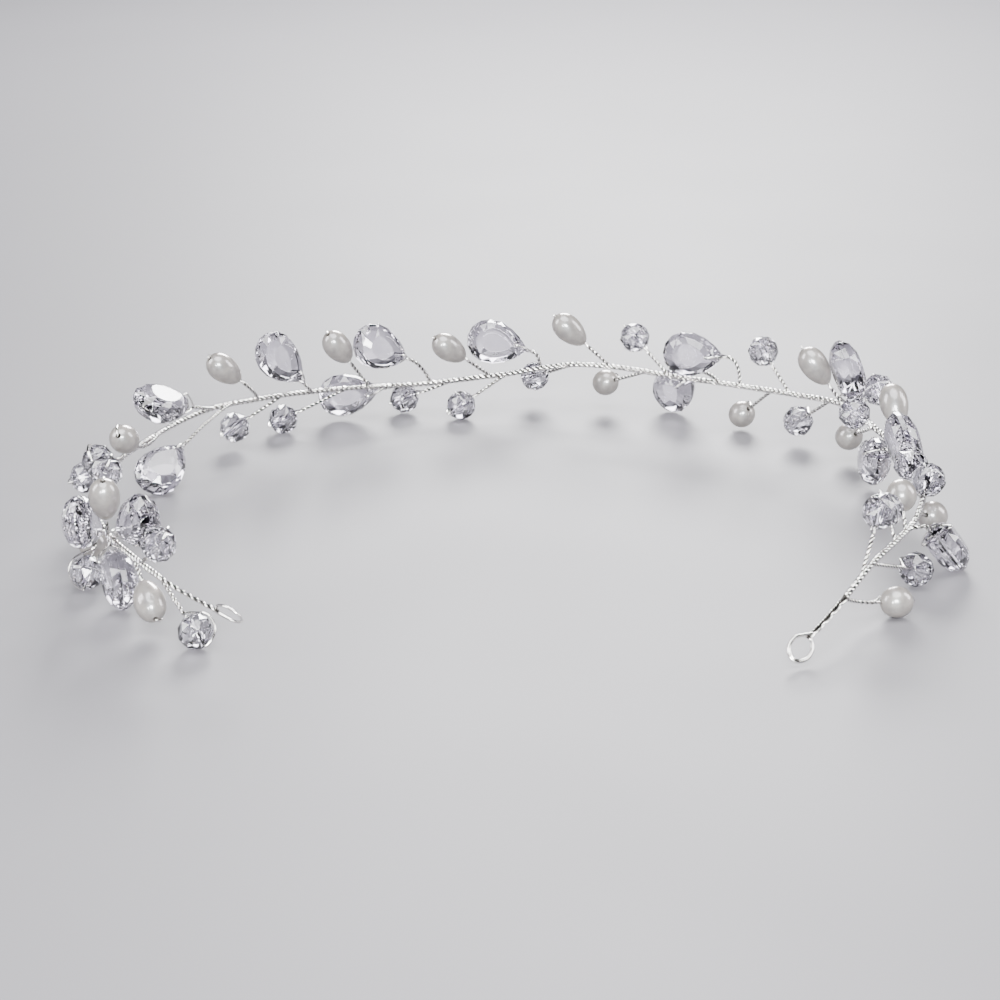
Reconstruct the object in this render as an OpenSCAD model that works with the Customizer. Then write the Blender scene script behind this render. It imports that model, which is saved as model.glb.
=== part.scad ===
// Hair vine headband: an open ring of twisted silver wire with faceted glass beads and
// pearls on short twisted sprigs. It lies on the table as it was laid down: the low beads
// carry it, the stem arches a few millimetres above the table and the high beads stand up.
// All sizes are in millimetres. The table is at z = 0 and the origin under the whole part's middle.

/* [Band] */
// Radius of the circle that the stem follows
band_radius = 70; // [69:1:80]
// Place of the ring's middle, left to right
band_x = 1; // [-5:0.1:5]
// Place of the ring's middle, front to back
band_y = -9.9; // [-15:0.1:5]

/* [Wire] */
// Thickness of the single wire
wire_d = 0.4; // [0.3:0.05:0.45]
// Thickness of a sprig's twisted stalk
stalk_d = 0.75; // [0.6:0.05:0.9]
// Thickness of the twisted stem
stem_d = 1.1; // [0.9:0.05:1.2]
// Thickness of the stem's thinner left end
stem_end_d = 0.8; // [0.7:0.05:1]
// Thickness of the wire that is bent into the end eyes
eye_wire_d = 0.5; // [0.4:0.05:0.6]

/* [Round crystals] */
// Diameter over the belt
crystal_d = 6; // [5.6:0.1:6.1]
// Diameter of the flat table round each end of the hole
crystal_table_d = 2.4; // [2:0.1:3]
// Facets in each row
crystal_facets = 10; // [8:1:12]

/* [Crystal drops] */
// Length from the tip to the round end
drop_length = 12.2; // [11:0.1:12.4]
// Width over the belt
drop_width = 8.8; // [7:0.1:9]
// Thickness from table to table
drop_thick = 5.2; // [4.6:0.1:5.3]
// Distance of the hole from the tip
drop_hole_inset = 2.4; // [2.2:0.1:2.8]
// How quickly it narrows to its tip, from egg to pear
drop_taper = 0.6; // [0.4:0.1:1.2]
// Corners of the outline
drop_corners = 12; // [10:2:16]

/* [Pearls] */
// Diameter of a round pearl
pearl_d = 5.2; // [4.6:0.1:5.3]
// Length of a round pearl along its hole
pearl_length = 5.6; // [5:0.1:5.8]
// Diameter of a rice pearl
rice_d = 5.2; // [4.8:0.1:5.3]
// Length of a rice pearl along its hole
rice_length = 8.2; // [7:0.1:8.4]

/* [Holes] */
// Diameter of the hole through each bead
hole_d = 0.9; // [0.8:0.05:1]

/* [Hidden] */
// Distance from a bead's surface to the middle of the wire that goes round it
leg_room = 0.5;
// Turn past which the stem is thinner
thin_turn = 218;
// Length of stalk between a bead and the point where its two wires part
neck = 1;
// How far a sprig's stalk reaches towards its bead before it bends, as a share of its length
bend_share = 0.45;
// How finely the wires are drawn: degrees of the ring for each length of stem, lengths in a
// stalk, and sides
stem_step = 5.55;
stalk_parts = 3;
wire_sides = 5;

// The stem, station by station from the right end round the back to the left end
TURN = 0;    // direction from the ring's middle, in degrees, 0 to the right and 90 to the back
OUT = 1;     // distance outside the band's circle
HEIGHT = 2;  // height over the table
stem_stations = [
    [-50, 1.5, 3.6],
    [-40, -0.5, 6.2],
    [-32, -0.5, 9],
    [-20, 1, 10],
    [-5, 2, 9.4],
    [10, 3, 8.4],
    [20, 3.5, 9.2],
    [29, 3, 11.2],
    [38.5, 0, 11],
    [48.5, -1.5, 10.4],
    [60, -2.5, 10.2],
    [73, -0.5, 10.2],
    [79, 0, 10],
    [84, 1, 8.8],
    [91, 1, 7.4],
    [104, 0.5, 6.7],
    [118, 0, 8.2],
    [133.5, 0.5, 9.9],
    [141, 3.5, 9.8],
    [155.5, 3.5, 9.5],
    [174.5, 2.5, 10.3],
    [192, 1.5, 10.2],
    [207, -1, 9.6],
    [221, -1.5, 8.9],
    [228, -0.7, 8.9],
];

// The eyes at the stem's two ends
EYE_TURN = 0;    // turn of the stem's end
EYE_HEADING = 1; // 1 where the stem runs on into the eye, -1 where it starts there
EYE_LENGTH = 2;  // length over the wire's middle, in line with the stem
EYE_WIDTH = 3;   // width over the wire's middle
EYE_TILT = 4;    // lean of the eye's plane, 90 when it stands upright
EYE_DROOP = 5;   // how far the eye is bent down from the line of the stem
eyes = [
    [-50, -1, 5, 3.8, 40, 16],
    [228, 1, 5.8, 3.8, 55, -8],
];

// The sprigs, in order along the stem. Each is a bead on a stalk of twisted wire.
KIND = 0;        // which bead it carries
ROOT = 1;        // turn at which its stalk leaves the stem
BEAD_TURN = 2;   // turn of the bead's middle
BEAD_OUT = 3;    // distance of the bead's middle outside the band's circle
BEAD_HEIGHT = 4; // height of the bead's middle
SWING = 5;       // how far the bead is bent outwards from the straight line off its root
NOD = 6;         // how far it is bent upwards from that line
SPIN = 7;        // how far its front is turned: a drop's from straight out of the ring, and
                 // any other's from straight back towards upright
sprigs = [
    ["pearl",      -40.5, -32.3, 3.6,  2.7,  20, 12,  0],
    ["crystal",    -36,   -30,   -1,   16.6, 0,  0,   0],
    ["crystal",    -33,   -21.5, 2.5,  3.1,  0,  0,   0],
    ["crystal",    -26,   -24.6, -2.1, 14.5, 0,  0,   0],
    ["pearl",      -22.5, -19.3, -1,   14.9, 0,  0,   0],
    ["drop",       -21.5, -15.6, 6.1,  5,    -13, -12, 38],
    ["crystal",    -18,   -10.5, 2.5,  14,   0,  0,   0],
    ["pearl",      -15.5, -8.5,  3.5,  6.5,  10, 0,   0],
    ["crystal",    -10,   -4,    -0.3, 14,   0,  0,   0],
    ["drop",       -1.3,  3.5,   0,    14.3, 0,  10,  -4],
    ["rice_pearl", 6,     14.5,  2.5,  17,   0,  10,  0],
    ["drop",       8,     15.6,  -0.4, 6.4,  28, -22, -17],
    ["crystal",    13,    20.5,  3,    17.5, 0,  0,   0],
    ["crystal",    16,    20.7,  -1.7, 13.5, 0,  0,   0],
    ["drop",       22,    27,    1.5,  18.9, 0,  8,   -27],
    ["pearl",      22,    29,    4,    4.9,  0,  0,   0],
    ["rice_pearl", 29.5,  33,    -0.5, 18.4, 0,  0,   0],
    ["crystal",    32,    39.5,  3,    4.6,  0,  0,   0],
    ["crystal",    39,    45.5,  1,    17.6, 0,  0,   0],
    ["pearl",      42.5,  50,    2,    3.3,  0,  0,   0],
    ["drop",       48.5,  56.9,  -3,   15.5, -4, -29, -69],
    ["drop",       52,    62.5,  3.5,  5.6,  0,  -20, 0],
    ["crystal",    61.5,  68,    -1.5, 17,   0,  0,   0],
    ["pearl",      66,    74,    3,    5.6,  0,  0,   0],
    ["rice_pearl", 72.5,  79,    -2.5, 18,   0,  0,   0],
    ["crystal",    79,    85.5,  5,    5.8,  0,  0,   0],
    ["drop",       84.5,  91.4,  0.7,  14.3, 5,  -19, 58],
    ["crystal",    90,    98,    -4,   3,    0,  0,   0],
    ["rice_pearl", 92.5,  99.5,  -2,   14.4, 0,  0,   0],
    ["crystal",    99,    106.5, 3,    3.2,  0,  0,   0],
    ["drop",       102.5, 111.1, -0.8, 15.6, 0,  -12, 30],
    ["drop",       108,   115.5, 4,    5.4,  0,  0,   0],
    ["rice_pearl", 113,   119,   -2,   17.5, 0,  0,   0],
    ["crystal",    129,   136.5, 3.5,  4.4,  0,  0,   0],
    ["crystal",    117,   127,   4,    3,    0,  0,   0],
    ["drop",       123.5, 130.1, -2,   17.6, 27, 4,   8],
    ["rice_pearl", 133.5, 140.8, -0.5, 18.4, 21, -1,  0],
    ["drop",       137.8, 156.5, 0.6,  4.4,  7,  -10, -86],
    ["drop",       141,   153.3, 2.4,  15.5, 21, -2,  58],
    ["rice_pearl", 153,   167.5, 1,    14.5, 0,  15,  0],
    ["crystal",    166,   175.5, 3.2,  14,   0,  0,   0],
    ["crystal",    170,   172,   6.9,  9.2,  0,  0,   0],
    ["crystal",    178,   184,   0.2,  15.8, 0,  0,   0],
    ["pearl",      183,   188.6, 3,    4.9,  0,  0,   0],
    ["crystal",    192,   195.5, 4.6,  3.2,  0,  0,   60],
    ["drop",       190.5, 197,   5.1,  12.6, 0,  25,  -17],
    ["rice_pearl", 196.5, 201.5, 2,    18.6, 0,  15,  0],
    ["drop",       195.6, 203,   1.1,  5.4,  0,  0,   0],
    ["drop",       198,   206,   -1.8, 15.8, 0,  0,   0],
    ["rice_pearl", 205.5, 212.5, 0.2,  5.2,  0,  0,   0],
    ["crystal",    208,   217,   0.5,  16.8, 0,  0,   0],
    ["crystal",    213.5, 222,   -1.5, 3,    0,  0,   45],
];

// Plain names of the beads: their kind and their number along the stem
function bead_name(i) = str(sprigs[i][KIND], i < 9 ? "_0" : "_", i + 1);

// Vectors
function unit(v) = v / norm(v);
function lay_across(v, along) = unit(v - (v * along) * along);

// Outwards at one turn of the ring, and upwards
function outward(turn) = [cos(turn), sin(turn), 0];
up = [0, 0, 1];

// A point given by its turn, its distance outside the band's circle and its height
function ring_point(turn, out, height) =
    [band_x, band_y, height] + (band_radius + out) * outward(turn);

// A smooth curve through one column of the stem's stations
function station_before(turn, i = 0) =
    i >= len(stem_stations) - 2 || stem_stations[i + 1][TURN] >= turn ? i : station_before(turn, i + 1);
function station_slope(i, column) =
    let (a = stem_stations[max(i - 1, 0)], b = stem_stations[min(i + 1, len(stem_stations) - 1)])
    (b[column] - a[column]) / (b[TURN] - a[TURN]);
function stem_column(turn, column) =
    let (
        i = station_before(turn),
        a = stem_stations[i],
        b = stem_stations[i + 1],
        span = b[TURN] - a[TURN],
        t = (turn - a[TURN]) / span
    )
    a[column] * (1 + 2 * t) * pow(1 - t, 2)
    + b[column] * t * t * (3 - 2 * t)
    + station_slope(i, column) * span * t * pow(1 - t, 2)
    - station_slope(i + 1, column) * span * t * t * (1 - t);
function stem_at(turn) = ring_point(turn, stem_column(turn, OUT), stem_column(turn, HEIGHT));

// Half of a bead's length along its sprig
function half_length(kind) =
    kind == "crystal" ? crystal_d / 2 :
    kind == "drop" ? drop_length / 2 :
    kind == "pearl" ? pearl_length / 2 : rice_length / 2;

// Where a sprig's bead sits, and its own three directions: its axis away from the stalk, its
// front on the side of a drop's hole or of the wire that comes back, and its side
function bead_middle(s) = ring_point(s[BEAD_TURN], s[BEAD_OUT], s[BEAD_HEIGHT]);
function bent(v, swing, nod) =
    let (
        heading = atan2(v[1], v[0]) - swing,
        rise = asin(v[2] / norm(v)) + nod
    )
    [cos(rise) * cos(heading), cos(rise) * sin(heading), sin(rise)];
function bead_axis(s) = bent(bead_middle(s) - stem_at(s[ROOT]), s[SWING], s[NOD]);
function is_drop(s) = s[KIND] == "drop";
function bead_front(s) =
    lay_across(
        is_drop(s) ? outward(s[BEAD_TURN] + s[SPIN]) : [0, cos(s[SPIN]), sin(s[SPIN])],
        bead_axis(s)
    );
function bead_side(s) = cross(bead_axis(s), bead_front(s));

// The point where a stalk's two wires part to hold the bead
function parting(s) = bead_middle(s) - (half_length(s[KIND]) + neck) * bead_axis(s);

// From a bead's own directions to the ring's
function placed(s, p) = bead_middle(s) + p[0] * bead_front(s) + p[1] * bead_side(s) + p[2] * bead_axis(s);
module place(s) {
    x = bead_front(s);
    y = bead_side(s);
    z = bead_axis(s);
    m = bead_middle(s);
    multmatrix([
        [x[0], y[0], z[0], m[0]],
        [x[1], y[1], z[1], m[1]],
        [x[2], y[2], z[2], m[2]],
        [0, 0, 0, 1],
    ]) children();
}

// A wire through a list of points, with its thickness at each
module wire_through(points, thick, sides) {
    last = len(points) - 1;
    tangents = [for (i = [0 : last]) unit(points[min(i + 1, last)] - points[max(i - 1, 0)])];
    aside = abs(tangents[0][2]) < 0.7 ? up : [1, 0, 0];
    normals = [
        for (i = 0, u = lay_across(aside, tangents[0]); i <= last;
            i = i + 1, u = i <= last ? lay_across(u, tangents[i]) : u) u
    ];
    rings = [
        for (i = [0 : last])
            let (u = normals[i], v = cross(tangents[i], u))
            for (k = [0 : sides - 1])
                points[i] + thick[i] / 2 * (cos(k * 360 / sides) * u + sin(k * 360 / sides) * v)
    ];
    walls = [
        for (i = [0 : last - 1])
            for (k = [0 : sides - 1])
                let (next = (k + 1) % sides)
                [(i + 1) * sides + k, (i + 1) * sides + next, i * sides + next, i * sides + k]
    ];
    start = [for (k = [0 : sides - 1]) k];
    end = [for (k = [sides - 1 : -1 : 0]) last * sides + k];
    polyhedron(points = rings, faces = concat([start], walls, [end]), convexity = 10);
}

// The stem, from one end to the other
module stem() {
    first = stem_stations[0][TURN];
    final = stem_stations[len(stem_stations) - 1][TURN];
    count = round((final - first) / stem_step);
    wire_through(
        [for (i = [0 : count]) stem_at(first + (final - first) * i / count)],
        [for (i = [0 : count]) first + (final - first) * i / count > thin_turn ? stem_end_d : stem_d],
        wire_sides
    );
}

// An eye of single wire at the end of the stem
module eye(e) {
    end = stem_at(e[EYE_TURN]);
    near = stem_at(e[EYE_TURN] - e[EYE_HEADING]);
    run = bent(end - near, 0, -e[EYE_DROOP]);
    level = unit(cross(run, up));
    wide = cos(e[EYE_TILT]) * level + sin(e[EYE_TILT]) * cross(level, run);
    middle = end + e[EYE_LENGTH] / 2 * run;
    bends = 10;
    points = [
        for (i = [0 : bends])
            let (a = i * 360 / bends)
            middle - e[EYE_LENGTH] / 2 * cos(a) * run + e[EYE_WIDTH] / 2 * sin(a) * wide
    ];
    for (i = [0 : bends - 1])
        hull() {
            translate(points[i]) sphere(d = eye_wire_d, $fn = wire_sides);
            translate(points[i + 1]) sphere(d = eye_wire_d, $fn = wire_sides);
        }
}

// A sprig's stalk: it leaves the stem and bends into line with its bead
function stalk_points(s) =
    let (
        root = stem_at(s[ROOT]),
        end = parting(s),
        knee = end - bend_share * norm(end - root) * bead_axis(s)
    )
    [
        for (i = [0 : stalk_parts])
            let (t = i / stalk_parts)
            pow(1 - t, 2) * root + 2 * t * (1 - t) * knee + t * t * end
    ];

// The single wire that holds a bead, in the bead's own directions [front, axis]. A crystal
// or a pearl has its hole in line with the stalk: the wire goes straight through it and
// comes back round the outside. A drop has its hole across: the wire goes up its front,
// through the hole and down its back. It runs back in just below the stalk's end.
function parted(kind) = [0, -half_length(kind) - neck - 0.2];
hole_level = drop_hole_inset - drop_length / 2;
drop_face = drop_thick / 2;
drop_leg = [
    [0.9 * drop_face, hole_level - 1.4],
    [drop_face + 0.3, hole_level - 0.4],
    [drop_face + 0.3, hole_level],
];
function half_width(kind) =
    kind == "crystal" ? crystal_d / 2 :
    kind == "pearl" ? pearl_d / 2 : rice_d / 2;
function beside(kind, a) =
    [(half_width(kind) + leg_room) * cos(a), (half_length(kind) + leg_room) * sin(a)];
function wire_there(s) =
    is_drop(s)
    ? concat(drop_leg, [[-drop_leg[2][0], drop_leg[2][1]]])
    : [[0, -half_length(s[KIND]) - 0.3], [0, half_length(s[KIND]) + leg_room], beside(s[KIND], 62)];
function wire_back(s) = concat(
    is_drop(s)
    ? [for (i = [2 : -1 : 0]) [-drop_leg[i][0], drop_leg[i][1]]]
    : [for (a = [60, 24, -14, -52]) beside(s[KIND], a)],
    [parted(s[KIND])]
);
function set_round(s, points) = [for (p = points) placed(s, [p[0], 0, p[1]])];

// A sprig's wire: the stalk is a twisted pair, and one of the pair goes round the bead
module sprig_wire(s) {
    pair = stalk_points(s);
    there = set_round(s, wire_there(s));
    back = set_round(s, wire_back(s));
    wire_through(
        concat(pair, there),
        concat([for (p = pair) stalk_d], [for (p = there) wire_d]),
        wire_sides
    );
    wire_through(back, [for (p = back) wire_d], wire_sides);
}

// All the wire: one piece, twisted together
module wire() {
    color("silver") {
        stem();
        for (e = eyes) eye(e);
        for (s = sprigs) sprig_wire(s);
    }
}

// A round crystal: a belt between two staggered rows of facets, and a table at each end
// of its hole
module crystal() {
    belt = 0.4;
    shoulder_d = 0.84 * crystal_d;
    shoulder_h = 0.54 * crystal_d;
    table_h = 0.9 * crystal_d;
    half_facet = 180 / crystal_facets;
    difference() {
        hull() {
            cylinder(h = belt, d = crystal_d, center = true, $fn = crystal_facets);
            rotate([0, 0, half_facet])
                cylinder(h = shoulder_h, d = shoulder_d, center = true, $fn = crystal_facets);
            cylinder(h = table_h, d = crystal_table_d, center = true, $fn = crystal_facets);
        }
        cylinder(h = 2 * crystal_d, d = hole_d, center = true, $fn = 24);
    }
}

// The outline of a drop, tip down, shrunk evenly for the rows above its belt
function drop_breadth(a) = sin(a) * pow(abs(sin(a / 2)), drop_taper);
drop_belly = max([for (a = [0 : 180]) drop_breadth(a)]);
module drop_outline(size) {
    polygon([
        for (i = [0 : drop_corners - 1])
            let (a = 360 * i / drop_corners)
            size * [
                drop_width / 2 / drop_belly * drop_breadth(a),
                -drop_length / 2 * cos(a),
            ]
    ]);
}
module drop_layer(size, thick) {
    linear_extrude(height = thick, center = true) drop_outline(size);
}

// A flat drop: a table front and back, two rows of facets down to the belt, and a hole
// from front to back near the tip
module drop() {
    multmatrix([[0, 0, 1, 0], [1, 0, 0, 0], [0, 1, 0, 0], [0, 0, 0, 1]]) difference() {
        hull() {
            drop_layer(1, 0.18 * drop_thick);
            drop_layer(0.82, 0.72 * drop_thick);
            drop_layer(0.55, drop_thick);
        }
        translate([0, hole_level, 0])
            cylinder(h = 2 * drop_thick, d = hole_d, center = true, $fn = 24);
    }
}

// A pearl, drilled along its length
module pearl(d, length) {
    difference() {
        scale([1, 1, length / d]) sphere(d = d, $fn = 32);
        cylinder(h = 2 * length, d = hole_d, center = true, $fn = 24);
    }
}

module bead(s) {
    place(s) {
        if (s[KIND] == "crystal") color("lightsteelblue") crystal();
        if (s[KIND] == "drop") color("lavender") drop();
        if (s[KIND] == "pearl") color("ivory") pearl(pearl_d, pearl_length);
        if (s[KIND] == "rice_pearl") color("ivory") pearl(rice_d, rice_length);
    }
}

wire();
for (i = [0 : len(sprigs) - 1]) bead(sprigs[i]);
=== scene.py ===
"""Looks of the hair vine headband: twisted silver wire, cut glass and pearls on the CAD frame.

The stem, the stalks and the end eyes are wound from round strands of wire. Each bead is modelled
once, in millimetres, and copied to its sprig. The tables of stations and sprigs are the part's own.
"""

import math

import bmesh
import bpy
from mathutils import Matrix, Vector, kdtree


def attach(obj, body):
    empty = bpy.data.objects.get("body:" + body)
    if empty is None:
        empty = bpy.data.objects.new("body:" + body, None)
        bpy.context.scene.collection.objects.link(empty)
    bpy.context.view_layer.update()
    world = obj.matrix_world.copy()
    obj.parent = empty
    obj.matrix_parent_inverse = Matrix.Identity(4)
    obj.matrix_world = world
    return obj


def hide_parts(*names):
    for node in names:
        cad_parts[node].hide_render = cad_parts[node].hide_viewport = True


bl_info = {
    "name": "Hair vine headband",
    "version": (1, 0, 0),
    "blender": (4, 5, 0),
    "location": "View3D > Sidebar > Headband",
    "description": "Winds the wire, cuts the glass and rounds the pearls of a hair vine headband",
    "category": "Object",
}

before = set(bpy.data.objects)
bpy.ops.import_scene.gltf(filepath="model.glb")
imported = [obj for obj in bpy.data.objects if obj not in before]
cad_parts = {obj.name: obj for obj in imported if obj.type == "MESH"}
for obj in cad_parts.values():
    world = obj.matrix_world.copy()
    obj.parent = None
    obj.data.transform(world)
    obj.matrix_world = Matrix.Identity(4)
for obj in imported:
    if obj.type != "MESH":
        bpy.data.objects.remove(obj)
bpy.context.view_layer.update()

# One millimetre, in metres
MM = 0.001
UP = Vector((0, 0, 1))

# The circle that the stem follows, in millimetres
BAND_RADIUS = 70
BAND_X = 1
BAND_Y = -9.9

# The stem from the right end round the back to the left end: its turn round the ring in degrees,
# and in millimetres its distance outside the circle and its height over the table
STEM_STATIONS = (
    (-50, 1.5, 3.6),
    (-40, -0.5, 6.2),
    (-32, -0.5, 9),
    (-20, 1, 10),
    (-5, 2, 9.4),
    (10, 3, 8.4),
    (20, 3.5, 9.2),
    (29, 3, 11.2),
    (38.5, 0, 11),
    (48.5, -1.5, 10.4),
    (60, -2.5, 10.2),
    (73, -0.5, 10.2),
    (79, 0, 10),
    (84, 1, 8.8),
    (91, 1, 7.4),
    (104, 0.5, 6.7),
    (118, 0, 8.2),
    (133.5, 0.5, 9.9),
    (141, 3.5, 9.8),
    (155.5, 3.5, 9.5),
    (174.5, 2.5, 10.3),
    (192, 1.5, 10.2),
    (207, -1, 9.6),
    (221, -1.5, 8.9),
    (228, -0.7, 8.9),
)
OUT, HEIGHT = 1, 2
FIRST_TURN = STEM_STATIONS[0][0]
LAST_TURN = STEM_STATIONS[-1][0]
# Steps of the stem's middle line, and of a stalk's
STEM_STEPS, STALK_STEPS = 1600, 60

# At the right end the stem's three strands stop winding together, between these two turns. Two of
# them wind on as a pair and the third lies beside it. In millimetres: how far outside the stem's
# middle each lies and how wide it winds, the length of one turn of the pair, and the single
# strand's thickness as a share of the others'
PARTING_TURNS = (-41.5, -40)
PAIR_ASIDE, PAIR_WIND, PAIR_LAY = -0.22, 0.185, 1.5
SINGLE_ASIDE, SINGLE_WIND, SINGLE_SHARE = 0.36, 0.08, 0.9

# At the left end one strand goes off with the last sprig at this turn, and the other two draw
# together between these. In millimetres: the length of one turn of the two
THIN_TURN = 214.5
THINNING_TURNS = (213, 215.5)
THIN_LAY = 4
# Thickness of each wire where only two wind together, in millimetres
THIN_PAIR = 0.38

# The end eyes: turn of the stem's end, the way it heads there as a sign, length and width in
# millimetres, tilt and droop in degrees, and turns of wire
EYES = (
    (-50, -1, 5, 3.8, 40, 16, 2),
    (228, 1, 5.8, 3.8, 55, -8, 1),
)
# In millimetres: the eyes' wire, how far its ends run back into the stem, and how far apart they
# lie there, across the eye and through it
EYE_WIRE = 0.44
EYE_ROOT = 0.9
EYE_ACROSS, EYE_THROUGH = 0.15, 0.2
# Points in one turn of an eye, and how much smaller the second turn gets
EYE_STEPS = 12
EYE_SHRINK = 0.17

# The sprigs: kind of bead, turn of the root, then the bead's turn, distance outside the circle
# and height, how far it is bent outwards and upwards, and how far its front is turned, in degrees
# and millimetres
SPRIGS = (
    ("pearl", -40.5, -32.3, 3.6, 2.7, 20, 12, 0),
    ("crystal", -36, -30, -1, 16.6, 0, 0, 0),
    ("crystal", -33, -21.5, 2.5, 3.1, 0, 0, 0),
    ("crystal", -26, -24.6, -2.1, 14.5, 0, 0, 0),
    ("pearl", -22.5, -19.3, -1, 14.9, 0, 0, 0),
    ("drop", -21.5, -15.6, 6.1, 5, -13, -12, 38),
    ("crystal", -18, -10.5, 2.5, 14, 0, 0, 0),
    ("pearl", -15.5, -8.5, 3.5, 6.5, 10, 0, 0),
    ("crystal", -10, -4, -0.3, 14, 0, 0, 0),
    ("drop", -1.3, 3.5, 0, 14.3, 0, 10, -4),
    ("rice_pearl", 6, 14.5, 2.5, 17, 0, 10, 0),
    ("drop", 8, 15.6, -0.4, 6.4, 28, -22, -17),
    ("crystal", 13, 20.5, 3, 17.5, 0, 0, 0),
    ("crystal", 16, 20.7, -1.7, 13.5, 0, 0, 0),
    ("drop", 22, 27, 1.5, 18.9, 0, 8, -27),
    ("pearl", 22, 29, 4, 4.9, 0, 0, 0),
    ("rice_pearl", 29.5, 33, -0.5, 18.4, 0, 0, 0),
    ("crystal", 32, 39.5, 3, 4.6, 0, 0, 0),
    ("crystal", 39, 45.5, 1, 17.6, 0, 0, 0),
    ("pearl", 42.5, 50, 2, 3.3, 0, 0, 0),
    ("drop", 48.5, 56.9, -3, 15.5, -4, -29, -69),
    ("drop", 52, 62.5, 3.5, 5.6, 0, -20, 0),
    ("crystal", 61.5, 68, -1.5, 17, 0, 0, 0),
    ("pearl", 66, 74, 3, 5.6, 0, 0, 0),
    ("rice_pearl", 72.5, 79, -2.5, 18, 0, 0, 0),
    ("crystal", 79, 85.5, 5, 5.8, 0, 0, 0),
    ("drop", 84.5, 91.4, 0.7, 14.3, 5, -19, 58),
    ("crystal", 90, 98, -4, 3, 0, 0, 0),
    ("rice_pearl", 92.5, 99.5, -2, 14.4, 0, 0, 0),
    ("crystal", 99, 106.5, 3, 3.2, 0, 0, 0),
    ("drop", 102.5, 111.1, -0.8, 15.6, 0, -12, 30),
    ("drop", 108, 115.5, 4, 5.4, 0, 0, 0),
    ("rice_pearl", 113, 119, -2, 17.5, 0, 0, 0),
    ("crystal", 129, 136.5, 3.5, 4.4, 0, 0, 0),
    ("crystal", 117, 127, 4, 3, 0, 0, 0),
    ("drop", 123.5, 130.1, -2, 17.6, 27, 4, 8),
    ("rice_pearl", 133.5, 140.8, -0.5, 18.4, 21, -1, 0),
    ("drop", 137.8, 156.5, 0.6, 4.4, 7, -10, -86),
    ("drop", 141, 153.3, 2.4, 15.5, 21, -2, 58),
    ("rice_pearl", 153, 167.5, 1, 14.5, 0, 15, 0),
    ("crystal", 166, 175.5, 3.2, 14, 0, 0, 0),
    ("crystal", 170, 172, 6.9, 9.2, 0, 0, 0),
    ("crystal", 178, 184, 0.2, 15.8, 0, 0, 0),
    ("pearl", 183, 188.6, 3, 4.9, 0, 0, 0),
    ("crystal", 192, 195.5, 4.6, 3.2, 0, 0, 60),
    ("drop", 190.5, 197, 5.1, 12.6, 0, 25, -17),
    ("rice_pearl", 196.5, 201.5, 2, 18.6, 0, 15, 0),
    ("drop", 195.6, 203, 1.1, 5.4, 0, 0, 0),
    ("drop", 198, 206, -1.8, 15.8, 0, 0, 0),
    ("rice_pearl", 205.5, 212.5, 0.2, 5.2, 0, 0, 0),
    ("crystal", 208, 217, 0.5, 16.8, 0, 0, 0),
    ("crystal", 213.5, 222, -1.5, 3, 0, 0, 45),
)

# Sizes of the beads, in millimetres
CRYSTAL_D, CRYSTAL_TABLE_D, CRYSTAL_BELT = 6, 2.4, 0.4
DROP_LENGTH, DROP_WIDTH, DROP_THICK = 12.2, 8.8, 5.2
DROP_HOLE_LEVEL = 2.4 - DROP_LENGTH / 2
# How quickly a drop narrows to its tip, and the widest value that this gives before it is sized
DROP_TAPER, DROP_BELLY = 0.6, 0.8411
PEARL_D, PEARL_LENGTH = 5.2, 5.6
RICE_D, RICE_LENGTH = 5.2, 8.2
HOLE_D = 0.9
HALF_LENGTH = {
    "crystal": CRYSTAL_D / 2,
    "drop": DROP_LENGTH / 2,
    "pearl": PEARL_LENGTH / 2,
    "rice_pearl": RICE_LENGTH / 2,
}
HALF_WIDTH = {"crystal": CRYSTAL_D / 2, "pearl": PEARL_D / 2, "rice_pearl": RICE_D / 2}

# Rows of corners of a crystal from its belt to its table: radius, height over the middle, and
# share of a facet by which the row is turned
CRYSTAL_ROWS = (
    (CRYSTAL_D / 2, CRYSTAL_BELT / 2, 0),
    (0.42 * CRYSTAL_D, 0.27 * CRYSTAL_D, 0.5),
    (CRYSTAL_TABLE_D / 2, 0.45 * CRYSTAL_D, 0),
)
# Rows of corners of a drop from its rim to its table: share of the outline, share of half the
# thickness, and turn as above. The middle row is turned, so that its facets are triangles
DROP_ROWS = ((1, 0.18, 0), (0.82, 0.72, 0.5), (0.55, 1, 0))
# Facets that meet at more than this angle, in degrees, have a polished edge
FACET_ANGLE = 5
# Segments and rings of a pearl, and rows of faces down its bore
PEARL_SEGMENTS, PEARL_RINGS, BORE_ROWS = 32, 20, 7
# Sides of the drill that bores the glass
DRILL_SIDES = 20

# How the wire holds a bead, in millimetres: room beside it, length of stalk before the wires part,
# and where a stalk bends towards its bead, as a share of its length
LEG_ROOM = 0.24
NECK = 1
BEND_SHARE = 0.45
# How far inside a bore's two mouths the wire is straight, how far past the far one it turns, and how
# far beside the middle it lies before the near mouth and past the far one
BORE_MOUTH = 0.3
BORE_TIP = 0.15
BORE_ASIDE = (-0.04, 0.03)
# The arc of wire back round the outside of a bead, in degrees up from its widest place
ARC_ANGLES = (83, 62, 40, 18, -4, -26, -48)
# A drop's leg of wire from the neck to inside its hole: share of half the drop's thickness, room
# in front of that, and height over the hole
DROP_LEG = ((0.495, 0, -2.55), (0.9, 0, -1.4), (1, 0.28, -0.5), (1, 0.18, -0.08), (1, -0.2, 0))


# Colours


def linear(code):
    """The linear RGB of an sRGB hex colour."""
    channels = [int(code[i : i + 2], 16) / 255 for i in (1, 3, 5)]
    return [c / 12.92 if c <= 0.04045 else ((c + 0.055) / 1.055) ** 2.4 for c in channels]


def colour_setting(name, description, code):
    """A colour that the user can change, with its sRGB hex default."""
    return bpy.props.FloatVectorProperty(
        name=name, description=description, subtype="COLOR", default=linear(code), min=0, max=1
    )


# Settings


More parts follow.
